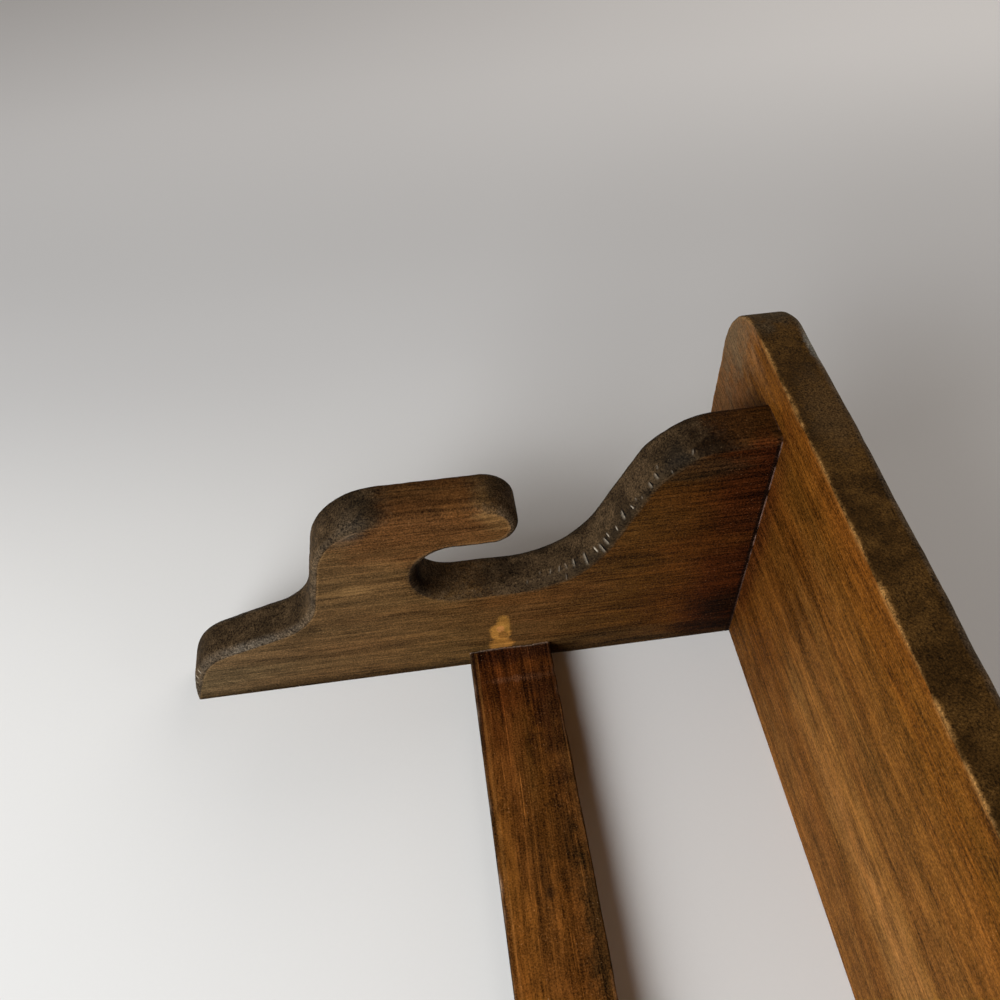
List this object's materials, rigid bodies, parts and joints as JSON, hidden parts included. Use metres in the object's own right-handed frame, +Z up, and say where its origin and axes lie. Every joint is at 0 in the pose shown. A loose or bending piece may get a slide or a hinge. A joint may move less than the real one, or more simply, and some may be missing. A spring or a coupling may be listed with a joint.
{
  "type": "wall shelf",
  "caption": "Stained wood wall shelf: a plank with rounded front corners on scroll-cut brackets with rod hooks, tied by a back rail and hung from keyhole plates.",
  "frame": {"origin": "on the wall plane, midway between the entry holes of the two hanger plates", "axes": "+X along the wall to the right as seen from the room, +Y into the wall, +Z up; the shelf stands out from the wall towards -Y"},
  "size_m": [0.61, 0.14, 0.2545],
  "materials": {
    "shelf_wood": "walnut-stained pine, satin, worn at the arris",
    "bracket_wood": "walnut-stained pine, dark on the cut edges, satin",
    "rail_wood": "walnut-stained pine, blotched, satin",
    "plug_wood": "stained wood plug, flush, satin",
    "screw_steel": "zinc plated",
    "nail_steel": "bright steel",
    "plate_steel": "zinc plated, scuffed"
  },
  "bodies": {
    "root": {"shelf_board": "shelf_wood", "left_bracket": "bracket_wood", "right_bracket": "bracket_wood", "back_rail": "rail_wood", "shelf_screw_left_back": "screw_steel", "shelf_plug_left_back": "plug_wood", "shelf_screw_left_front": "screw_steel", "shelf_plug_left_front": "plug_wood", "rail_nail_left_lower": "nail_steel", "rail_nail_left_upper": "nail_steel", "hanger_plate_left": "plate_steel", "hanger_screw_left_lower": "screw_steel", "hanger_screw_left_upper": "screw_steel", "shelf_screw_right_back": "screw_steel", "shelf_plug_right_back": "plug_wood", "shelf_screw_right_front": "screw_steel", "shelf_plug_right_front": "plug_wood", "rail_nail_right_lower": "nail_steel", "rail_nail_right_upper": "nail_steel", "hanger_plate_right": "plate_steel", "hanger_screw_right_lower": "screw_steel", "hanger_screw_right_upper": "screw_steel"}
  },
  "joints": []
}
